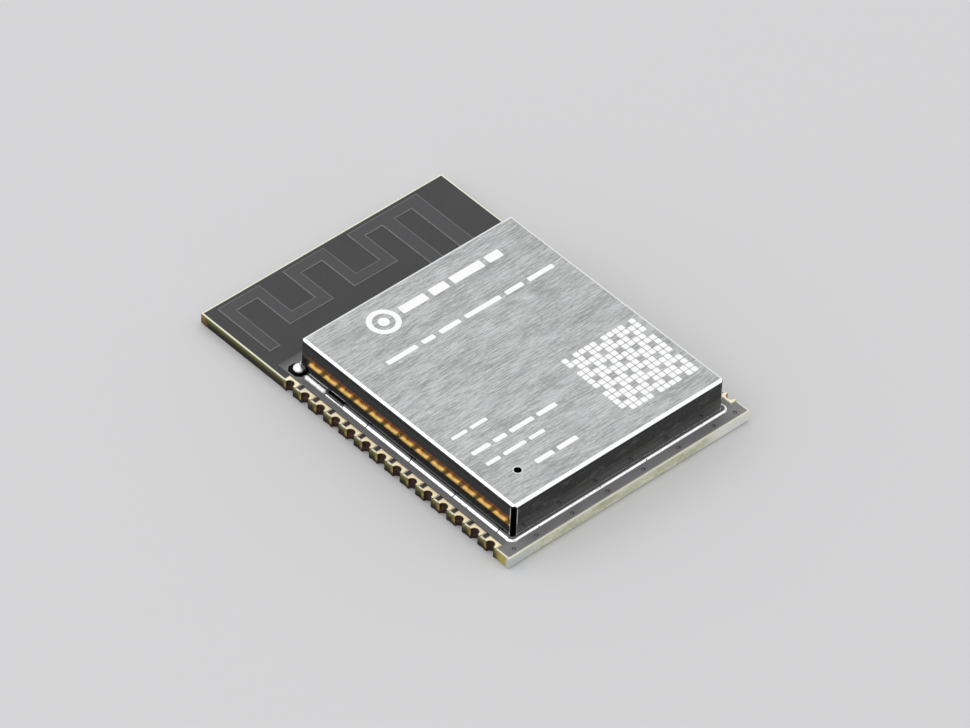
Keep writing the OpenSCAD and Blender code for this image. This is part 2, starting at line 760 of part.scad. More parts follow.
// A round drop in each rear corner, drawn up into the slit between the walls
module corner_solder() color("#e8e9ea")
    both_sides() translate([-shield_x, shield_y1, 0]) {
        layer(copper_high, board_t) circle(d = drop_d);
        intersection() {
            translate([0, 0, board_t]) sphere(d = drop_d);
            layer(board_t, board_t + drop_d) square(2 * drop_d, center = true);
        }
        translate([creep_in, -creep_in, board_t + drop_d / 4])
            cylinder(r1 = drop_d / 4, r2 = creep_tip_r, h = creep_h);
    }

// ---- Parts under the shield ----

module component_solder() color("#e8e9ea") layer(copper_high, seat_z) land_plan();

module soc_frame() translate([soc_x, soc_y, 0]) {
    for (turn = [0:90:270], i = [0:soc_pins - 1]) rotate(turn)
        layer(seat_z, seat_z + soc_frame_t)
            mid_rect((soc_w - soc_terminal_l) / 2, (i - (soc_pins - 1) / 2) * soc_pitch,
                soc_terminal_l, soc_land_w - 2 * soc_land_side);
    layer(seat_z, seat_z + soc_frame_t) square(soc_pad_w, center = true);
}

module soc_body() color("#26262a") difference() {
    layer(seat_z, seat_z + soc_h) mid_rect(soc_x, soc_y, soc_w, soc_w);
    soc_frame();
    translate([soc_x - soc_w / 2 + soc_dot_side, soc_y + soc_w / 2 - soc_dot_side,
        seat_z + soc_h - soc_dot_t]) cylinder(d = soc_dot_d, h = soc_dot_t + eps);
}

module soc_terminals() color("#d9dadc") soc_frame();

// Outline of a moulded body, widest where the two halves of its mould met
module moulded_profile(w, h)
    polygon([
        [flash_draft - w / 2, 0], [w / 2 - flash_draft, 0], [w / 2, h / 2],
        [w / 2 - flash_draft, h], [flash_draft - w / 2, h], [-w / 2, h / 2]
    ]);

// One gull-wing lead, seen from the end of the package
module lead_profile() {
    mid = flash_standoff + flash_h / 2;
    root = flash_w / 2 - lead_root;
    shoulder = flash_w / 2 + lead_shoulder;
    toe = flash_span / 2;
    heel = toe - lead_foot;
    lean = 0.6 * lead_t;        // the sloping leg is a little thicker across than the sheet
    polygon([
        [root, mid - lead_t / 2], [shoulder - lean, mid - lead_t / 2], [heel, 0], [toe, 0],
        [toe, lead_t], [heel + lean, lead_t], [shoulder, mid + lead_t / 2],
        [root, mid + lead_t / 2]
    ]);
}

module flash_lead_set()
    translate([flash_x, flash_y, seat_z]) for (turn = [0, 180], i = [0:flash_pins - 1])
        rotate(turn) translate([0, (i - (flash_pins - 1) / 2) * flash_pitch, 0])
            rotate([90, 0, 0]) linear_extrude(lead_w, center = true) lead_profile();

module flash_body() color("#26262a") difference() {
    translate([flash_x, flash_y, seat_z + flash_standoff]) intersection() {
        rotate([90, 0, 0]) linear_extrude(flash_l, center = true)
            moulded_profile(flash_w, flash_h);
        rotate([90, 0, 90]) linear_extrude(flash_w, center = true)
            moulded_profile(flash_l, flash_h);
    }
    flash_lead_set();
    translate([flash_x - flash_w / 2 + flash_dot_side, flash_y + flash_l / 2 - flash_dot_side,
        seat_z + flash_standoff + flash_h - flash_dot_t])
        cylinder(d = flash_dot_d, h = flash_dot_t + eps);
}

module flash_leads() color("#d9dadc") flash_lead_set();

module crystal_base() color("#b8ad9c")
    translate([crystal_x, crystal_y, 0])
        layer(seat_z, seat_z + crystal_h - crystal_lid_t) difference() {
            square([crystal_w, crystal_l], center = true);
            for (x = [-1, 1], y = [-1, 1]) translate([x * crystal_w / 2, y * crystal_l / 2])
                circle(r = crystal_corner_r);
        }

module crystal_lid() color("#c9cbcd")
    translate([crystal_x, crystal_y, 0]) {
        rim_z = seat_z + crystal_h - crystal_lid_t;
        layer(rim_z, rim_z + crystal_lid_t / 2)
            square([crystal_w, crystal_l] - [1, 1] * crystal_brim, center = true);
        layer(rim_z + crystal_lid_t / 2, rim_z + crystal_lid_t)
            square([crystal_w, crystal_l] - [2, 2] * crystal_brim, center = true);
    }

// Body of a small part, which runs on inside its two metal ends
module chip_body(h)
    layer(seat_z + cap_t, seat_z + h - cap_t)
        square([chip_l - 2 * cap_t, chip_w - 2 * cap_t], center = true);

module chip_ends(h) difference() {
    for (s = [-1, 1]) layer(seat_z, seat_z + h)
        mid_rect(s * (chip_l - cap_l) / 2, 0, cap_l, chip_w);
    chip_body(h);
}

module capacitor_bodies() color("#a9825a") at_sites(capacitor_sites) chip_body(capacitor_h);

module capacitor_ends() color("#d9dadc") at_sites(capacitor_sites) chip_ends(capacitor_h);

module resistor_bodies() color("#2f2f33") at_sites(resistor_sites) chip_body(resistor_h);

module resistor_ends() color("#d9dadc") at_sites(resistor_sites) chip_ends(resistor_h);

module inductor_bodies() color("#5d7890") at_sites(inductor_sites) chip_body(inductor_h);

module inductor_ends() color("#d9dadc") at_sites(inductor_sites) chip_ends(inductor_h);

laminate_core();
antenna_and_ground_copper();
component_lands();
ground_copper_bottom();
thermal_pad();
ground_vias();
solder_mask_top();
solder_mask_bottom();
shield_can();
shield_solder_left();
shield_solder_right();
shield_solder_front();
shield_solder_rear();
corner_solder();
component_solder();
soc_body();
soc_terminals();
flash_body();
flash_leads();
crystal_base();
crystal_lid();
capacitor_bodies();
capacitor_ends();
resistor_bodies();
resistor_ends();
inductor_bodies();
inductor_ends();
for (i = [1:pad_count]) castellation(i);
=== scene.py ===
# Dresses a small shielded wireless module: sheet metal, lacquer, solder, gold, board edge, marks.
import math

import bpy
import numpy as np
from mathutils import Matrix, Vector


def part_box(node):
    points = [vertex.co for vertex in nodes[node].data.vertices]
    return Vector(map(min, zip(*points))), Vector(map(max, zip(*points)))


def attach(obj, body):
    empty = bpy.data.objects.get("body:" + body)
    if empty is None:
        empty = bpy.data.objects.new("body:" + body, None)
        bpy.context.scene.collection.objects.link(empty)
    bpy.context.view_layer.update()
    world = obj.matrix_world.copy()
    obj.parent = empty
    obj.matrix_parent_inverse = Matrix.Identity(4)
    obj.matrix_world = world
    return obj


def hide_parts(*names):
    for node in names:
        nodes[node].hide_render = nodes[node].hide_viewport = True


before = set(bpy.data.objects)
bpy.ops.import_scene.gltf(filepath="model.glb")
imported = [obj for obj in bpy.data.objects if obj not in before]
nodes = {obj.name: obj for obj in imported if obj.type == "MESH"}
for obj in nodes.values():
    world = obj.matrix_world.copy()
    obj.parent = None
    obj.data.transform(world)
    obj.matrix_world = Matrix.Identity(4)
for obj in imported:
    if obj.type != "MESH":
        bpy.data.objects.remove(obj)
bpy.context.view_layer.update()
mm = 0.001
print("frame loaded,", len(nodes), "nodes")


class Signal:
    # A socket that can stand in Python expressions; each operator adds its Math node

    def __init__(self, tree, socket=None):
        self.tree, self.socket = tree, socket

    # Any node: its type, the settings it needs first, then the values or links of its sockets
    def node(self, kind, settings=None, sockets=None, out=0):
        made = self.tree.nodes.new(kind)
        for name, value in (settings or {}).items():
            setattr(made, name, value)
        for name, value in (sockets or {}).items():
            if isinstance(value, Signal):
                self.tree.links.new(value.socket, made.inputs[name])
            else:
                made.inputs[name].default_value = value
        return Signal(self.tree, made.outputs[out])

    def maths(self, operation, *values):
        return self.node("ShaderNodeMath", {"operation": operation}, dict(enumerate(values)))

    def __add__(self, other):
        return self.maths("ADD", self, other)

    def __sub__(self, other):
        return self.maths("SUBTRACT", self, other)

    def __rsub__(self, other):
        return self.maths("SUBTRACT", other, self)

    def __mul__(self, other):
        return self.maths("MULTIPLY", self, other)

    def __abs__(self):
        return self.maths("ABSOLUTE", self)

    __radd__ = __add__
    __rmul__ = __mul__

    def largest(self, *others):
        most = self
        for other in others:
            most = self.maths("MAXIMUM", most, other)
        return most

    # 0 at start, 1 at end, smooth in between; start may be the higher one
    def ease(self, start, end):
        low, high = min(start, end), max(start, end)
        eased = self.node("ShaderNodeMapRange", {"interpolation_type": "SMOOTHSTEP"},
                          {"Value": self, "From Min": low, "From Max": high})
        return 1 - eased if start > end else eased

    # 1 between low and high, with soft edges
    def band(self, low, high, soft):
        return self.ease(low - soft, low + soft) * self.ease(high + soft, high - soft)

    def axes(self):
        return [self.node("ShaderNodeSeparateXYZ", None, {0: self}, i) for i in range(3)]

    def stretched(self, x, y, z):
        return self.node("ShaderNodeVectorMath", {"operation": "MULTIPLY"},
                         {0: self, 1: (x, y, z)})

    def distance(self, point):
        return self.node("ShaderNodeVectorMath", {"operation": "DISTANCE"},
                         {0: self, 1: point}, "Value")

    # Noise with this many grains a millimetre along each axis
    def noise(self, grains, detail=2.0, rough=0.5):
        return self.node("ShaderNodeTexNoise", None, {
            "Vector": self.stretched(*grains), "Scale": 1.0, "Detail": detail, "Roughness": rough})

    # Self is the mask: 0 shows a, 1 shows b
    def mix(self, a, b):
        ends = [v if isinstance(v, Signal) else (*v, 1) for v in (a, b)]
        return self.node("ShaderNodeMix", {"data_type": "RGBA"}, {0: self, 6: ends[0], 7: ends[1]}, 2)

    # A Bump node whose relief is depth millimetres high
    def bump(self, depth):
        return self.node("ShaderNodeBump", None, {"Distance": depth * mm, "Height": self})


def grey(value):
    return (value, value, value)


def newMaterial(name, **constants):
    # A Principled material: returns it, a way to feed its shader, the place in mm, the normal
    material = bpy.data.materials.new(name)
    material.use_nodes = True
    tree = material.node_tree
    shader = tree.nodes["Principled BSDF"]
    for key, value in constants.items():
        shader.inputs[key.replace("_", " ")].default_value = value

    def feed(**links):
        for key, value in links.items():
            tree.links.new(value.socket, shader.inputs[key.replace("_", " ")])

    start = Signal(tree)
    place = start.node("ShaderNodeTexCoord", out="Object").stretched(1 / mm, 1 / mm, 1 / mm)
    normal = start.node("ShaderNodeNewGeometry", out="Normal")
    return material, feed, place, normal


def dress(material, *names):
    for name in names:
        mesh = nodes[name].data
        mesh.materials.clear()
        mesh.materials.append(material)


def boxMm(name):
    low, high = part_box(name)
    return np.array(low) / mm, np.array(high) / mm


# The board and the shield: most finishes change with the distance from their edges
coreLow, coreHigh = (corner.tolist() for corner in boxMm("laminate_core"))
canLow, canHigh = (corner.tolist() for corner in boxMm("shield_can"))
canMidY = (canLow[1] + canHigh[1]) / 2
canHalfY = (canHigh[1] - canLow[1]) / 2
boardTop = canLow[2]
contactPitch = 1.27
firstContact = coreLow[1] + 1.5     # its middle, along the board


def upperFace(z):
    # 1 on the board's upper side and 0 on its lower one
    return z.ease(0.3, 0.5)


def insideShield(x, y):
    # How far in from the shield's side walls, and from its front and rear walls
    return canHigh[0] - abs(x), canHalfY - abs(y - canMidY)


sheetLook = {
    "dark": 0.31, "light": 0.58, "scratch": 0.72,   # shades of the brushed top
    "grain": (0.9, 13.0, 1.0),       # grains a millimetre, along and across the brushing
    "bend": 0.93,
    "high": 0.038, "mid": 0.34, "low": 0.26,        # painted shade of a wall, from its bend to its foot: dark where it mirrors dark surroundings
    "highZ": (1.75, 2.35), "lowZ": (1.25, 1.0),     # where a wall turns to its high and low shade
    "endLift": 0.30,                # how much lower the front and rear walls turn dark
    "flank": 0.077, "flankHigh": 0.034, "flankZ": (2.15, 2.45),     # the same for the side walls
    "goldReflection": (0.95, 0.64, 0.22), "dimReflection": (0.26, 0.075, 0.014),  # painted reflection of the contacts on the side walls, gold and then dim
    "reflectionZ": (1.68, 2.06, 2.32),    # foot of the painted reflection, its middle and its upper end
    # burr is the shade of the painted highlights on cut edges and round the vent hole; slitShade is
    # painted shade in the corner slits
    "burr": 0.80, "slitShade": 0.02,
    "slit": (0.25, 0.05),           # from the corner to the end of a wall, and the width of the painted edge highlight there
    "vent": (2.18, 2.10, 0.23, 0.33),   # from the left and front walls, hole's radius and its painted bright rim's radius
    "notches": ((3.35, 5.25, 1.10), (1.89, 3.19, 1.18)),    # start, end and top of rear notches
}


def makeSheet(f):
    # Brushed top, polished bends, mirror-like walls darkened with painted shade and a painted
    # reflection of the contacts, bright painted highlights at cut edges
    material, feed, place, normal = newMaterial("shieldSheet", Metallic=1.0)
    x, y, z = place.axes()
    up = normal.axes()[2]
    side, end = insideShield(x, y)
    top = up.ease(0.982, 0.999)
    bend = (up + side.ease(0.03, 0.3) * 0.2).ease(0.68, 0.82)

    # Top: grey brushing with a few brighter hairs, and a painted highlight as a bright rim round the
    # vent hole
    streak = place.noise(f["grain"], 4, 0.62)
    fleck = place.noise((4.0, 14.0, 1.0), 3, 0.6)
    cloud = place.noise((0.35, 1.1, 1.0), 2, 0.5)
    shade = (streak * 0.55 + fleck * 0.27 + cloud * 0.18).ease(0.38, 0.62)
    hair = place.noise((0.9, 24.0, 1.0), 1, 0.5).ease(0.64, 0.74)
    brushed = hair.mix(shade.mix(grey(f["dark"]), grey(f["light"])), grey(f["scratch"]))
    holeX, holeY, holeR, rimR = f["vent"]
    rim = place.distance((canLow[0] + holeX, canLow[1] + holeY, canHigh[2])).ease(rimR, holeR)
    brushed = (rim * top).mix(brushed, grey(f["burr"]))

    # Walls: painted shade, dark towards the bend, smeared and spotted; the side walls darker and
    # plainer, also painted shade
    smear = place.noise((1.3, 1.3, 2.6), 4, 0.6)
    flank = side.ease(0.03, 0.01)
    rise = z + (1 - flank) * f["endLift"]
    wall = rise.ease(*f["highZ"]).mix(grey(f["mid"]), grey(f["high"]))
    wall = z.ease(*f["lowZ"]).mix(wall, grey(f["low"]))
    spot = place.noise((7, 7, 7), 2, 0.5).ease(0.66, 0.74)
    wall = (spot * 0.35).mix((smear.ease(0.5, 0.75) * 0.3).mix(wall, grey(f["low"])), grey(0.4))
    plain = flank.mix(wall, z.ease(*f["flankZ"]).mix(grey(f["flank"]), grey(f["flankHigh"])))

    # Painted reflection of the gold contacts: an amber band on the side walls, as far back as the
    # contacts reach
    foot, middle, head = f["reflectionZ"]
    reflectionColour = z.ease(middle - 0.16, middle + 0.12).mix(f["goldReflection"], f["dimReflection"])
    reflectionBand = flank * z.ease(foot - 0.06, foot + 0.06) * z.ease(head + 0.10, head - 0.10)
    reflectionBand = reflectionBand * y.ease(canHigh[1] - 0.6, canHigh[1] - 1.0)
    wall = reflectionBand.mix(plain, reflectionColour)

    # Painted shade in the corner slits, with painted highlights along the cut edges of the front two,
    # and painted highlights over the foot notches
    gap, burr = f["slit"]
    slit = side.ease(gap + 0.02, gap) * end.ease(gap + 0.02, gap)
    slitHighlight = end.ease(0.03, 0.01) * side.band(gap, gap + burr, 0.01)
    slitHighlight = slitHighlight + flank * end.band(gap, gap + burr, 0.01)
    slitHighlight = slitHighlight * y.ease(canMidY + 1, canMidY)
    notchHighlight = 0
    for start, stop, level in f["notches"]:
        notchHighlight = notchHighlight + y.band(start, stop, 0.02) * z.band(level, level + 0.045, 0.01)
    edge = slitHighlight + flank * notchHighlight
    wall = edge.mix(slit.mix(wall, grey(f["slitShade"])), grey(f["burr"]))

    feed(Base_Color=top.mix(bend.mix(wall, grey(f["bend"])), brushed),
         Roughness=0.14 + bend * 0.06 + top * 0.10 + shade * top * 0.06 + spot * 0.2,
         Normal=((streak + fleck) * top).bump(0.005))
    return material


solderLook = {
    "bright": 0.95, "dull": 0.60, "rough": 0.17, "ripple": 2.6,
    "shadedFrom": 0.10, "shadeAndNicks": 0.12,    # height above the board, in millimetres, above which beads take painted shade, and that shade, also used for dark nicks
}


def makeSolder(f, name, shadedFrom):
    # Frozen metal: bright, a little rippled, dull where it has cooled into grains, and dark above
    # a given height, painted shade where a bead rises against its dark wall, with a few dark nicks
    material, feed, place, _ = newMaterial(name, Metallic=1.0)
    ripple = place.noise((f["ripple"],) * 3, 3, 0.5)
    frost = place.noise((12, 12, 12), 4, 0.6)
    colour = (ripple * 0.4 + frost * 0.6).ease(0.50, 0.64).mix(grey(f["bright"]), grey(f["dull"]))
    if shadedFrom:
        # painted shade on the upper part of each bead
        highShade = place.axes()[2].ease(boardTop + shadedFrom - 0.015, boardTop + shadedFrom + 0.015)
        nick = place.noise((3.0, 3.0, 9.0), 2, 0.6).ease(0.66, 0.70)
        colour = highShade.largest(nick * 0.8).mix(colour, grey(f["shadeAndNicks"]))
    feed(Base_Color=colour, Roughness=f["rough"] + frost.ease(0.4, 0.75) * 0.2,
         Normal=(ripple + frost * 0.2).bump(0.022))
    return material


goldLook = {
    # land and worn: the upper lands painted pale as a painted highlight; under: the deeper gold of the
    # lower lands
    "land": (1.0, 0.96, 0.76), "worn": (1.0, 0.92, 0.62), "amber": (0.66, 0.34, 0.06),
    "under": (0.95, 0.74, 0.38),
    # hole: painted shade down in the half holes; glint: painted glints there
    "hole": (0.016, 0.005, 0.002), "glint": (0.12, 0.038, 0.009),
    "halfWidth": 0.45, "depth": 0.42, "holeRadius": 0.275,  # of a contact's upper land
    "thinEdge": (0.045, 0.015), "thinHole": (0.045, 0.020),     # where amber starts and is full
    "rough": 0.24,
}


def makeGold(f):
    # Immersion gold: painted pale and bright on the upper lands, a painted highlight, deeper gold
    # below; brown-black down in the half holes, painted shade
    material, feed, place, normal = newMaterial("immersionGold", Metallic=0.2)
    x, y, z = place.axes()
    level = abs(normal.axes()[2]).ease(0.3, 0.9)
    cloud = place.noise((3.5, 3.5, 3.5), 3, 0.55)
    pit = place.noise((34, 34, 34), 2, 0.5)
    # Upper lands in two random tones, both painted pale as a painted highlight
    land = cloud.ease(0.48, 0.66).mix(f["land"], f["worn"])
    # Half holes: painted shade, with a few painted glints
    glint = z.band(0.18, 0.50, 0.15) * place.noise((4, 4, 3), 2, 0.5).ease(0.42, 0.70)
    hole = glint.mix(f["hole"], f["glint"])

    # Amber where the gold thins out: along a land's edges and round its half hole
    along, inward = y - firstContact, coreHigh[0] - abs(x)
    fromMiddle = along.maths("PINGPONG", along, contactPitch / 2)
    side = fromMiddle.ease(*(f["halfWidth"] - width for width in f["thinEdge"]))
    end = inward.ease(*(f["depth"] - width for width in f["thinEdge"]))
    ring = (inward * inward + fromMiddle * fromMiddle).ease(
        *((f["holeRadius"] + width) ** 2 for width in f["thinHole"]))
    face = upperFace(z)
    thin = side.largest(end, ring) * inward.ease(1.0, 0.9) * face
    land = (thin * 0.6).mix(land, f["amber"])
    land = face.mix(f["under"], land)
    feed(Base_Color=level.mix(hole, land), Roughness=f["rough"] + pit * 0.14 + (1 - level) * 0.15,
         Normal=(pit + cloud).bump(0.004))
    return material


maskLook = {
    "bare": (0.024, 0.024, 0.025), "overCopper": (0.043, 0.042, 0.045),
    # The two ledge shades: painted light on the lacquer over the ground copper round the shield,
    # brighter at the front
    "ledgeLight": (0.160, 0.160, 0.165), "frontLedgeLight": (0.200, 0.200, 0.205),
    # The pale shade is a painted highlight on steep lacquer, along the antenna and in the vias' dips,
    # and also the shade of dust; the black is for the corner patches and the painted shade under the
    # shield
    "step": (0.42, 0.42, 0.42), "blackPatch": (0.004, 0.004, 0.004),
    "overLevel": (0.372, 0.392),    # from the board's middle, lacquer that lies over copper
    "sunkLevel": (0.362, 0.352),    # the same, lacquer that sinks over a via, lightened there by a painted highlight
    "fade": (7.0, 6.2),             # along the board, where the painted light over the ground copper begins
    "rim": 0.20,                    # how far the lacquer pales along the antenna's edges, a painted highlight
    "antenna": [                    # legs, bars, feed leg and ground leg: corners of each
        (-8.06, 7.96, -7.40, 12.34), (-5.76, 8.91, -5.10, 12.34), (-3.26, 8.91, -2.60, 12.34),
        (-0.96, 8.91, -0.30, 12.34), (1.54, 8.91, 2.20, 12.34), (-8.06, 11.68, -5.10, 12.34),
        (-3.26, 11.68, -0.30, 12.34), (1.54, 11.68, 6.72, 12.34), (-5.76, 8.91, -2.60, 9.57),
        (-0.96, 8.91, 2.20, 9.57), (3.58, 5.0, 4.40, 12.34), (5.78, 6.0, 6.72, 12.34),
    ],
    "blackPatchAt": (0.02, 0.02, 0.50, 0.56, 0.80),   # middle from the rear corner, half sides, cut
    "rough": 0.42, "peel": 14.0,
}


def fromRectangles(x, y, corners):
    # Distance from the nearest of some rectangles, below 0 inside one
    nearest = 100
    for x0, y0, x1, y1 in corners:
        outX = abs(x - (x0 + x1) / 2) - (x1 - x0) / 2
        outY = abs(y - (y0 + y1) / 2) - (y1 - y0) / 2
        nearest = x.maths("MINIMUM", outX.largest(outY), nearest)
    return nearest


def makeMask(f):
    # Lacquer: lighter over copper than over bare laminate, with painted light round the shield and
    # painted highlights where it steps
    material, feed, place, normal = newMaterial("solderMask", IOR=1.5)
    x, y, z = place.axes()
    up = abs(normal.axes()[2])
    face = upperFace(z)
    level = abs(z - (coreLow[2] + coreHigh[2]) / 2)
    copper = level.ease(*f["overLevel"])
    ground = copper * y.ease(*f["fade"])
    cloud = place.noise((0.5, 0.5, 0.5), 3, 0.5)
    peel = place.noise((f["peel"],) * 3, 2, 0.5)
    dust = place.noise((26, 26, 26), 1, 0.5).ease(0.70, 0.78)

    # Black corner patch round each rear drop of solder: a square with its corners cut
    dx, dy, halfX, halfY, cut = f["blackPatchAt"]
    fromX = abs(abs(x) - (canHigh[0] + dx))
    fromY = abs(y - (canHigh[1] + dy))
    outside = (fromX - halfX).largest(fromY - halfY, (fromX + fromY - cut) * math.sqrt(0.5))
    blackPatch, outline = face * outside.ease(0.02, -0.02), face * outside.band(0.01, 0.05, 0.015)

    colour = copper.mix(f["bare"], f["overCopper"])
    shore = face * y.ease(canLow[1] + 0.2, canLow[1] - 0.1)
    # painted light over the ground copper, brighter on the front ledge
    colour = ground.mix(colour, shore.mix(f["ledgeLight"], f["frontLedgeLight"]))
    # painted highlight in the middle of each via's dip, at the front
    colour = (shore * level.ease(*f["sunkLevel"]) * 0.6).mix(colour, f["step"])
    # painted highlight along the antenna's edges
    rim = face * fromRectangles(x, y, f["antenna"]).band(-0.01, 0.07, 0.02)
    colour = (rim * f["rim"]).mix(colour, f["step"])
    colour = (cloud.ease(0.45, 0.7) * 0.25).mix(colour, f["overCopper"])
    # painted highlight on steep lacquer
    colour = up.ease(0.8, 0.3).mix(colour, f["step"])
    colour = (dust * 0.3).mix(colour, f["step"])

    # Black under the shield too, painted shade inside the can, which shows only through the notches
    side, end = insideShield(x, y)
    black = blackPatch.largest(face * side.ease(0.0, 0.1) * end.ease(0.0, 0.1))
    colour = (outline * 0.25).mix(black.mix(colour, f["blackPatch"]), f["step"])
    feed(Base_Color=colour, Roughness=f["rough"] + cloud * 0.12 - dust * 0.1, Metallic=black,
         Normal=peel.bump(0.004))
    return material


laminateLook = {
    "resin": (0.42, 0.43, 0.29), "glass": (0.76, 0.78, 0.62),
    "paleLeft": (0.54, 0.58, 0.61), "paleRight": (0.84, 0.84, 0.82), "rim": (0.84, 0.82, 0.68),
    "sideDark": (0.006, 0.005, 0.002), "sideOlive": (0.105, 0.096, 0.014),
    "sideGold": (0.30, 0.23, 0.035), "frontOlive": (0.42, 0.34, 0.08), "rust": (0.46, 0.24, 0.04),
    "sidePale": (0.30, 0.33, 0.19), "burr": (0.52, 0.33, 0.06),
    "burrAt": (0.24, 0.46), "burrZ": (0.26, 0.56),  # along the side from a contact, and upwards
    "endsMiddle": -0.6, "endsFrom": (5.6, 7.6),     # across the front edge, its pale ends
    "plies": 7.0,
}


def makeLaminate(f):
    # Routed glass-epoxy: plies of cloth along the thickness; browned where the sides were cut
    material, feed, place, normal = newMaterial("glassEpoxy", IOR=1.35)
    x, y, z = place.axes()
    nx, ny, nz = (abs(part) for part in normal.axes())
    ply = z * (2 * math.pi * f["plies"])
    ply = ply.maths("SINE", ply)
    fray = place.noise((5, 5, 22), 4, 0.62)
    blur = place.noise((0.8, 0.8, 2.0), 3, 0.55)
    cloth = (ply * 0.06 + fray * 0.6 + blur * 0.4).ease(0.36, 0.66)
    edge = cloth.mix(f["resin"], f["glass"])
    ends = abs(x - f["endsMiddle"]).ease(*f["endsFrom"])
    edge = (ends * 0.75).mix(edge, x.ease(-1, 1).mix(f["paleLeft"], f["paleRight"]))

    # Sides: dark and olive, darker towards the bottom as painted shade, with gold in the cloth towards
    # the front
    # darker towards the bottom: painted shade
    height = z.ease(coreLow[2] + 0.12, coreHigh[2])
    side = (height * 0.6 + fray * 0.7).ease(0.35, 0.95).mix(f["sideDark"], f["sideOlive"])
    golden = fray.ease(0.42, 0.62) * height * y.ease(7, -9) * 0.6
    side = golden.mix(side, f["sideGold"])
    side = (z.ease(coreHigh[2] - 0.16, coreHigh[2] - 0.05) * 0.45).mix(side, f["sidePale"])

    # A golden burr on each tooth, just past its half hole
    past = y.maths("WRAP", y - firstContact, contactPitch, 0.0)
    burr = past.band(*f["burrAt"], 0.12) * z.band(*f["burrZ"], 0.16) * y.ease(5.9, 5.7)
    side = (burr * fray.ease(0.25, 0.60)).mix(side, f["burr"])

    # The front corner, the browned rear one, and the pale lip all round
    side = y.ease(coreLow[1] + 1.2, coreLow[1] + 0.6).mix(side, f["frontOlive"])
    browned = y.ease(coreHigh[1] - 0.7, coreHigh[1] - 0.2) * fray.ease(0.35, 0.7) * 0.7
    side = browned.mix(side, f["rust"])
    side = y.ease(coreLow[1] + 0.35, coreLow[1]).mix(side, f["paleLeft"])
    edge = nx.ease(0.4, 0.8).mix(edge, side)
    lip = z.ease(coreHigh[2] - 0.07, coreHigh[2] - 0.03)
    edge = (lip * ny).mix(edge, f["rim"])
    colour = nz.ease(0.4, 0.9).mix(edge, fray.ease(0.3, 0.8).mix(f["rim"], f["glass"]))
    feed(Base_Color=colour, Roughness=0.45 + fray * 0.2, Normal=(fray + cloth * 0.5).bump(0.01))
    return material


def makePlain(name, low, high, metallic, rough, scale, depth):
    # Fine-grained finish between two shades, for the parts that the shield hides
    material, feed, place, _ = newMaterial(name, Metallic=metallic)
    grain = place.noise((scale,) * 3, 4, 0.6)
    cloud = place.noise((scale / 9,) * 3, 3, 0.5)
    feed(Base_Color=(grain * 0.6 + cloud * 0.4).ease(0.35, 0.65).mix(low, high),
         Roughness=rough + grain * 0.15, Normal=grain.bump(depth))
    return material


print("making finishes")
solder = makeSolder(solderLook, "solder", 0)
beads = makeSolder(solderLook, "solderBeads", solderLook["shadedFrom"])
dull = makeSolder({**solderLook, "bright": 0.74, "dull": 0.42, "rough": 0.34}, "dullSolder", 0)
satin = makeSolder({**solderLook, "bright": 1.0, "dull": 0.86, "rough": 0.42}, "satinSolder", 0)
gold = makeGold(goldLook)
copper = makePlain("etchedCopper", (0.72, 0.36, 0.20), (0.90, 0.50, 0.30), 1.0, 0.25, 16, 0.003)
tinned = makePlain("tinPlate", (0.62, 0.62, 0.63), (0.86, 0.86, 0.86), 1.0, 0.25, 18, 0.004)
moulding = makePlain("mouldedBody", (0.012, 0.012, 0.013), (0.03, 0.03, 0.032), 0.0, 0.55, 22, 0.01)
tan = makePlain("tanCeramic", (0.34, 0.22, 0.12), (0.48, 0.33, 0.20), 0.0, 0.5, 26, 0.004)
blue = makePlain("coilCeramic", (0.10, 0.19, 0.30), (0.17, 0.28, 0.40), 0.0, 0.4, 26, 0.004)
glaze = makePlain("resistorGlaze", (0.010, 0.010, 0.012), (0.03, 0.03, 0.035), 0.0, 0.25, 20, 0.003)
ceramic = makePlain("crystalCeramic", (0.40, 0.34, 0.27), (0.55, 0.49, 0.40), 0.0, 0.6, 24, 0.005)
lid = makePlain("crystalLid", (0.55, 0.54, 0.52), (0.78, 0.77, 0.74), 1.0, 0.3, 12, 0.003)

dress(makeSheet(sheetLook), "shield_can")
dress(beads, "shield_solder_left", "shield_solder_right", "shield_solder_front",
      "shield_solder_rear")
dress(solder, "corner_solder", "component_solder")
dress(gold, "thermal_pad", "component_lands",
      *[name for name in nodes if name.startswith("castellation_")])
dress(makeMask(maskLook), "solder_mask_top", "solder_mask_bottom")
dress(makeLaminate(laminateLook), "laminate_core")
dress(copper, "antenna_and_ground_copper", "ground_copper_bottom", "ground_vias")
dress(tinned, "soc_terminals", "flash_leads", "capacitor_ends", "resistor_ends", "inductor_ends")
dress(moulding, "soc_body", "flash_body")
dress(ceramic, "crystal_base")
dress(lid, "crystal_lid")
dress(tan, "capacitor_bodies")
dress(glaze, "resistor_bodies")
dress(blue, "inductor_bodies")


def addPiece(name, verts, faces, material, slotName, smooth=False):
    # verts in millimetres, any shape that ends in 3; faces as rows of indices
    mesh = bpy.data.meshes.new(name)
    mesh.from_pydata((np.asarray(verts, float).reshape(-1, 3) * mm).tolist(), [], faces)
    mesh.polygons.foreach_set("use_smooth", np.full(len(mesh.polygons), smooth))
    mesh.materials.append(material)
    mesh.update()
    piece = bpy.data.objects.new(name, mesh)
    bpy.context.scene.collection.objects.link(piece)
    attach(piece, "root")
    return piece


def tubeFaces(rings, around, offset=0):
    # Quads between rings of points, and a face over each end
    index = np.arange(rings * around).reshape(rings, around) + offset
    ahead = np.roll(index, -1, 1)
    quads = np.stack([index[:-1], ahead[:-1], ahead[1:], index[1:]], -1).reshape(-1, 4)
    return quads.tolist() + [index[0, ::-1].tolist(), index[-1].tolist()]


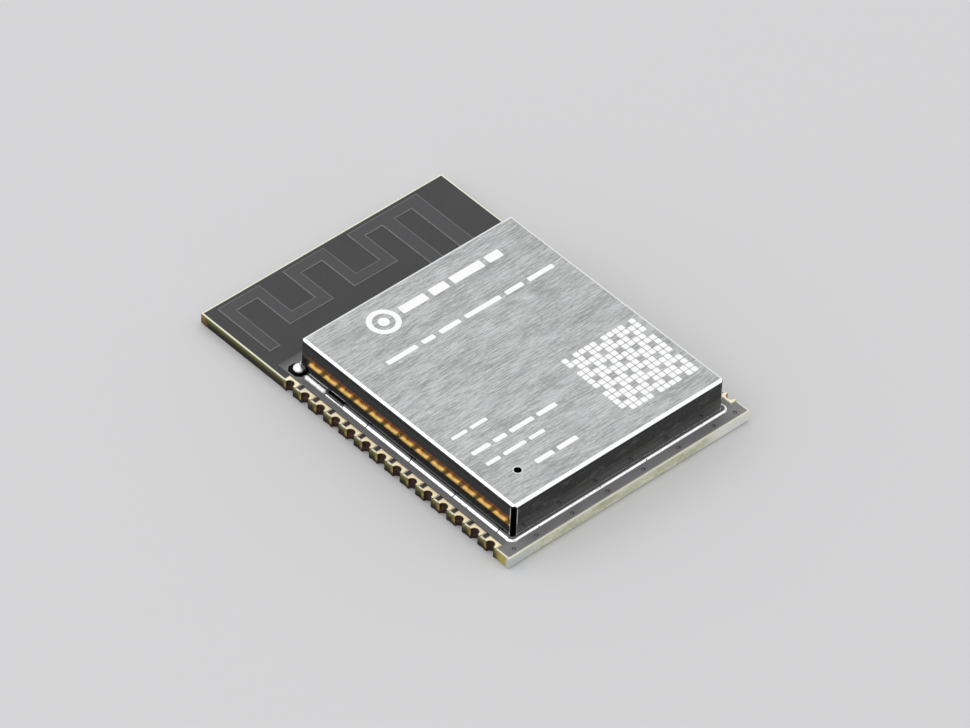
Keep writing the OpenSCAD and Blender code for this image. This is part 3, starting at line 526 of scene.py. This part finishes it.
dropLook = {
    "radius": 0.35, "low": 0.02, "height": 0.38,    # round body, in millimetres
    "angles": (-50, 72), "ballShare": 0.66,         # the part of a ball that it follows, its share
    "tail": 0.36, "tailRadius": 0.07, "tip": 0.012, "lean": 0.09,   # drawn up between the walls
    "dent": 0.06,
}


def makeDrops(f):
    # Each ring's radius follows a flattened ball and then a thin tail that leans into the corner;
    # two slow waves round it make it uneven
    rings, around = 34, 32
    t = np.linspace(0, 1, rings)
    turn = np.arange(around) / around * 2 * np.pi
    share, (foot, crown) = f["ballShare"], f["angles"]
    ball = np.clip(t / share, 0, 1)
    drawn = np.clip((t - share) / (1 - share), 0, 1)
    ballAngle = np.radians(foot + (crown - foot) * ball)
    radius = np.where(t <= share, f["radius"] * np.cos(ballAngle),
                      f["tailRadius"] * (1 - drawn) ** 0.8 + f["tip"])
    bottom = math.sin(math.radians(foot))
    height = f["height"] * (np.sin(ballAngle) - bottom) / (1 - bottom) + f["tail"] * drawn
    wave = 1 + f["dent"] * (np.sin(2 * turn + 0.6)[None] * np.cos(3 * t)[:, None]
                            + 0.6 * np.sin(3 * turn + 4 * t[:, None]))
    lean = f["lean"] * t ** 1.5
    verts, faces = [], []
    for number, sideways in enumerate((-1, 1)):
        ringX = sideways * (canHigh[0] - lean[:, None]) + radius[:, None] * wave * np.cos(turn)
        ringY = canHigh[1] - lean[:, None] + radius[:, None] * wave * np.sin(turn)
        ringZ = np.repeat(boardTop - f["low"] + height[:, None], around, 1)
        verts.append(np.stack([ringX, ringY, ringZ], -1))
        faces += tubeFaces(rings, around, number * rings * around)
    piece = addPiece("corner_drops", np.array(verts), faces, satin, "solder", smooth=True)
    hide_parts("corner_solder")


# Solder in front of the rear notches: a lump, and a thin run that swells towards the bead
runLook = {
    "lump": {"y": (3.34, 5.15), "out": 0.03, "halfWidth": 0.235, "height": 0.19, "wave": 0.04,
             "finish": dull},
    "run": {"y": (1.80, 3.30), "out": 0.20, "halfWidth": 0.055, "height": 0.10, "wave": 0.06,
            "finish": solder},
}


def makeRuns(looks):
    # Half an ellipse carried along the wall, rounded off at both ends and gently uneven
    rings, around = 60, 20
    t = np.linspace(0, 1, rings)
    turn = np.linspace(0, np.pi, around)
    for name, f in looks.items():
        verts, faces = [], []
        start, stop = f["y"]
        y = start + (stop - start) * t
        fromEnd = np.minimum(y - start, stop - y) / f["halfWidth"]
        fade = np.sqrt(1 - (1 - np.clip(fromEnd, 0, 1)) ** 2).clip(0.02)
        wave = 1 + f["wave"] * (np.sin(9 * t + 0.8) + 0.7 * np.sin(23 * t) + 0.4 * np.sin(41 * t))
        width = f["halfWidth"] * fade * (1 + (wave - 1) * 0.6)
        tall = f["height"] * fade * wave
        for sideways in (-1, 1):
            across = np.cos(turn)[None] * width[:, None]
            ringX = sideways * (canHigh[0] + f["out"]) - across
            ringZ = boardTop - 0.005 + np.sin(turn)[None] * tall[:, None]
            ringY = np.repeat(y[:, None], around, 1)
            faces += tubeFaces(rings, around, len(verts) * rings * around)
            verts.append(np.stack([ringX, ringY, ringZ], -1))
        addPiece("notch_" + name, np.array(verts), faces, f["finish"], "solder", smooth=True)


print("adding solder")
makeDrops(dropLook)
makeRuns(runLook)

marks = {
    "lift": 0.004, "sunk": 0.002,   # above and below the sheet's face
    "corner": 0.08,
    # each row of bars: start, middle, bar height, gap, bar lengths
    "rows": [
        (-2.15, 3.80, 0.62, 0.34, (1.9, 1.2, 2.3, 1.05)),
        (-5.55, 1.10, 0.34, 0.40, (2.2, 0.9, 1.5, 2.6, 1.3, 1.9)),
        (-6.85, -5.66, 0.26, 0.26, (1.1, 1.2)),
        (-6.80, -7.25, 0.32, 0.30, (1.3, 0.9, 1.7, 1.4)),
        (-6.75, -8.36, 0.28, 0.28, (1.0, 1.6, 1.1)),
        (-4.55, -9.93, 0.34, 0.32, (1.3, 1.45)),
    ],
    "ring": (-3.46, 3.74, 1.0, 0.66, 0.34),     # middle, outer and inner radius, dot's radius
    "field": (1.85, -10.35, 0.42, 13),          # corner, pitch and number of blocks a side
    "block": 0.88,                  # side of a block as a share of the pitch
}


def slabs(outlines, low, high):
    # Thin closed slabs: each outline, a row of x, y points, stands once at low and once at high
    count, points = outlines.shape[:2]
    rings = np.stack([np.dstack([outlines, np.full((count, points), z)]) for z in (low, high)], 1)
    index = np.arange(count * 2 * points).reshape(count, 2, points)
    nextOne = np.roll(index, -1, 2)
    sides = np.stack([index[:, 0], nextOne[:, 0], nextOne[:, 1], index[:, 1]], -1).reshape(-1, 4)
    return rings, sides.tolist() + index[:, 1].tolist() + index[:, 0, ::-1].tolist()


def roundedBars(middle, size, radius, steps=16):
    # Each bar's outline: a circle of the corner's radius, pushed out to the nearest corner
    turn = (np.arange(steps) + 0.5) / steps * 2 * np.pi
    ray = np.stack([np.cos(turn), np.sin(turn)], -1)
    half = size[:, None, :] / 2 - radius
    return middle[:, None, :] + np.sign(ray)[None] * half + radius * ray[None]


def ringBand(x, y, outer, inner, low, high, steps=72):
    # A rectangle carried round a circle
    turn = np.arange(steps) / steps * 2 * np.pi
    profile = np.array([(inner, low), (outer, low), (outer, high), (inner, high)])
    verts = np.stack([x + np.cos(turn)[:, None] * profile[None, :, 0],
                      y + np.sin(turn)[:, None] * profile[None, :, 0],
                      np.tile(profile[:, 1], (steps, 1))], -1)
    index = np.arange(steps * 4).reshape(steps, 4)
    ahead, across = np.roll(index, -1, 0), np.roll(index, -1, 1)
    both = np.roll(ahead, -1, 1)
    return verts, np.stack([index, ahead, both, across], -1).reshape(-1, 4).tolist()


def makeMarkInk():
    # Laser frosting: chalky white, a little thin where the brushing runs through it
    material, feed, place, _ = newMaterial("laserFrost", IOR=1.45)
    streak = place.noise((0.9, 14, 1), 4, 0.6)
    speck = place.noise((24, 24, 1), 2, 0.5)
    thin = (streak * 0.5 + speck * 0.5).ease(0.56, 0.72)
    feed(Base_Color=thin.mix(grey(0.92), grey(0.66)), Roughness=0.55 + speck * 0.2,
         Normal=speck.bump(0.004))
    return material


def makeMarks(m):
    # Rows of bars, a ring with a dot, and a square field of blocks that skips every fifth diagonal
    low, high = canHigh[2] - m["sunk"], canHigh[2] + m["lift"]
    middles, sizes = [], []
    for start, y, tall, gap, lengths in m["rows"]:
        lengths = np.array(lengths)
        ends = start + np.cumsum(lengths + gap) - gap
        middles.append(np.stack([ends - lengths / 2, np.full(len(lengths), y)], -1))
        sizes.append(np.stack([lengths, np.full(len(lengths), tall)], -1))
    x0, y0, pitch, count = m["field"]
    i, j = np.indices((count, count))
    kept = (i + 2 * j) % 5 > 0
    middles.append(np.stack([x0 + (i[kept] + 0.5) * pitch, y0 + (j[kept] + 0.5) * pitch], -1))
    sizes.append(np.full((kept.sum(), 2), pitch * m["block"]))
    bars = roundedBars(np.concatenate(middles), np.concatenate(sizes), m["corner"])
    x, y, outer, inner, dot = m["ring"]
    turn = np.arange(48) / 48 * 2 * np.pi
    circle = np.stack([x + dot * np.cos(turn), y + dot * np.sin(turn)], -1)[None]
    ink = makeMarkInk()
    addPiece("mark_bars", *slabs(bars, low, high), ink, "shield_sheet")
    addPiece("mark_ring", *ringBand(x, y, outer, inner, low, high), ink, "shield_sheet")
    addPiece("mark_dot", *slabs(circle, low, high), ink, "shield_sheet")


print("marking the shield")
makeMarks(marks)

stageLook = {
    "floor": (0.62, 0.62, 0.63, 1.0),
    "floorSize": 6.0,
    "ambient": 0.78,
    "backdrop": (0.86, 0.87, 0.88),
    # each lamp: turn round the part, height above the horizon (degrees), distance, size, watts
    "lamps": {
        "keyLight": (200, 66, 0.75, 1.10, 2.1),
        "leftLight": (233, 32, 0.75, 0.80, 0.55),
        "frontLight": (38, 33, 0.75, 0.80, 0.45),
    },
}


def makeStage(s):
    # A pale floor, an even surround and three large, dim lamps
    floorMesh = bpy.data.meshes.new("floor")
    half = s["floorSize"] / 2
    floorMesh.from_pydata([(-half, -half, 0), (half, -half, 0), (half, half, 0), (-half, half, 0)],
                          [], [(0, 1, 2, 3)])
    floor = bpy.data.objects.new("floor", floorMesh)
    floor.location.z = -0.02 * mm
    bpy.context.scene.collection.objects.link(floor)
    floorMesh.materials.append(newMaterial("paleFloor", Base_Color=s["floor"], Roughness=0.9)[0])

    world = bpy.data.worlds.new("studio")
    bpy.context.scene.world = world
    world.use_nodes = True
    tree = world.node_tree
    tree.nodes.clear()
    start = Signal(tree)
    light = start.node("ShaderNodeBackground", None, {"Color": (1, 1, 1, 1), "Strength": s["ambient"]})
    shown = start.node("ShaderNodeBackground", None, {"Color": (*s["backdrop"], 1), "Strength": 1.0})
    seen = [start.node("ShaderNodeLightPath", out=name)
            for name in ("Is Camera Ray", "Is Glossy Ray", "Is Transmission Ray")]
    mixed = start.node("ShaderNodeMixShader", None,
                       {0: (seen[0] + seen[1] + seen[2]).ease(0.0, 1.0), 1: light, 2: shown})
    out = tree.nodes.new("ShaderNodeOutputWorld")
    tree.links.new(mixed.socket, out.inputs["Surface"])

    for name, (turn, rise, distance, size, watts) in s["lamps"].items():
        lamp = bpy.data.lights.new(name, "AREA")
        lamp.shape, lamp.size, lamp.energy = "SQUARE", size, watts
        obj = bpy.data.objects.new(name, lamp)
        away = direction(turn, rise)
        obj.location = away * distance
        obj.rotation_mode = "QUATERNION"
        obj.rotation_quaternion = away.to_track_quat("Z", "Y")
        bpy.context.scene.collection.objects.link(obj)


def direction(turn, rise):
    # Unit vector from the part: turn 0 looks back along -Y, turn 90 along +X
    a, e = math.radians(turn), math.radians(rise)
    return Vector((math.sin(a) * math.cos(e), -math.cos(a) * math.cos(e), math.sin(e)))


cameraSet = {
    "aim": (0.653, -0.202, 0.325),      # millimetres
    "turn": -43.887, "rise": 43.366, "roll": 2.53,      # degrees
    "distance": 0.44053,                # metres
    "lens": 294.26,
}


def makeCamera(c):
    # Looks back at the aim from where the turn, the rise and the distance put it
    back = direction(c["turn"], c["rise"])
    level = Vector((0, 0, 1)).cross(back).normalized()
    upright = back.cross(level)
    roll = math.radians(c["roll"])
    right = level * math.cos(roll) + upright * math.sin(roll)
    up = back.cross(right)
    data = bpy.data.cameras.new("camera")
    data.lens, data.sensor_width = c["lens"], 36
    data.clip_start, data.clip_end = 0.01, 20
    camera = bpy.data.objects.new("camera", data)
    turned = Matrix((right, up, back)).transposed().to_4x4()
    turned.translation = Vector(c["aim"]) * mm + back * c["distance"]
    camera.matrix_world = turned
    bpy.context.scene.collection.objects.link(camera)
    bpy.context.scene.camera = camera


print("making the set")
makeStage(stageLook)
makeCamera(cameraSet)
bpy.context.scene.view_settings.view_transform = "Standard"

print("done")
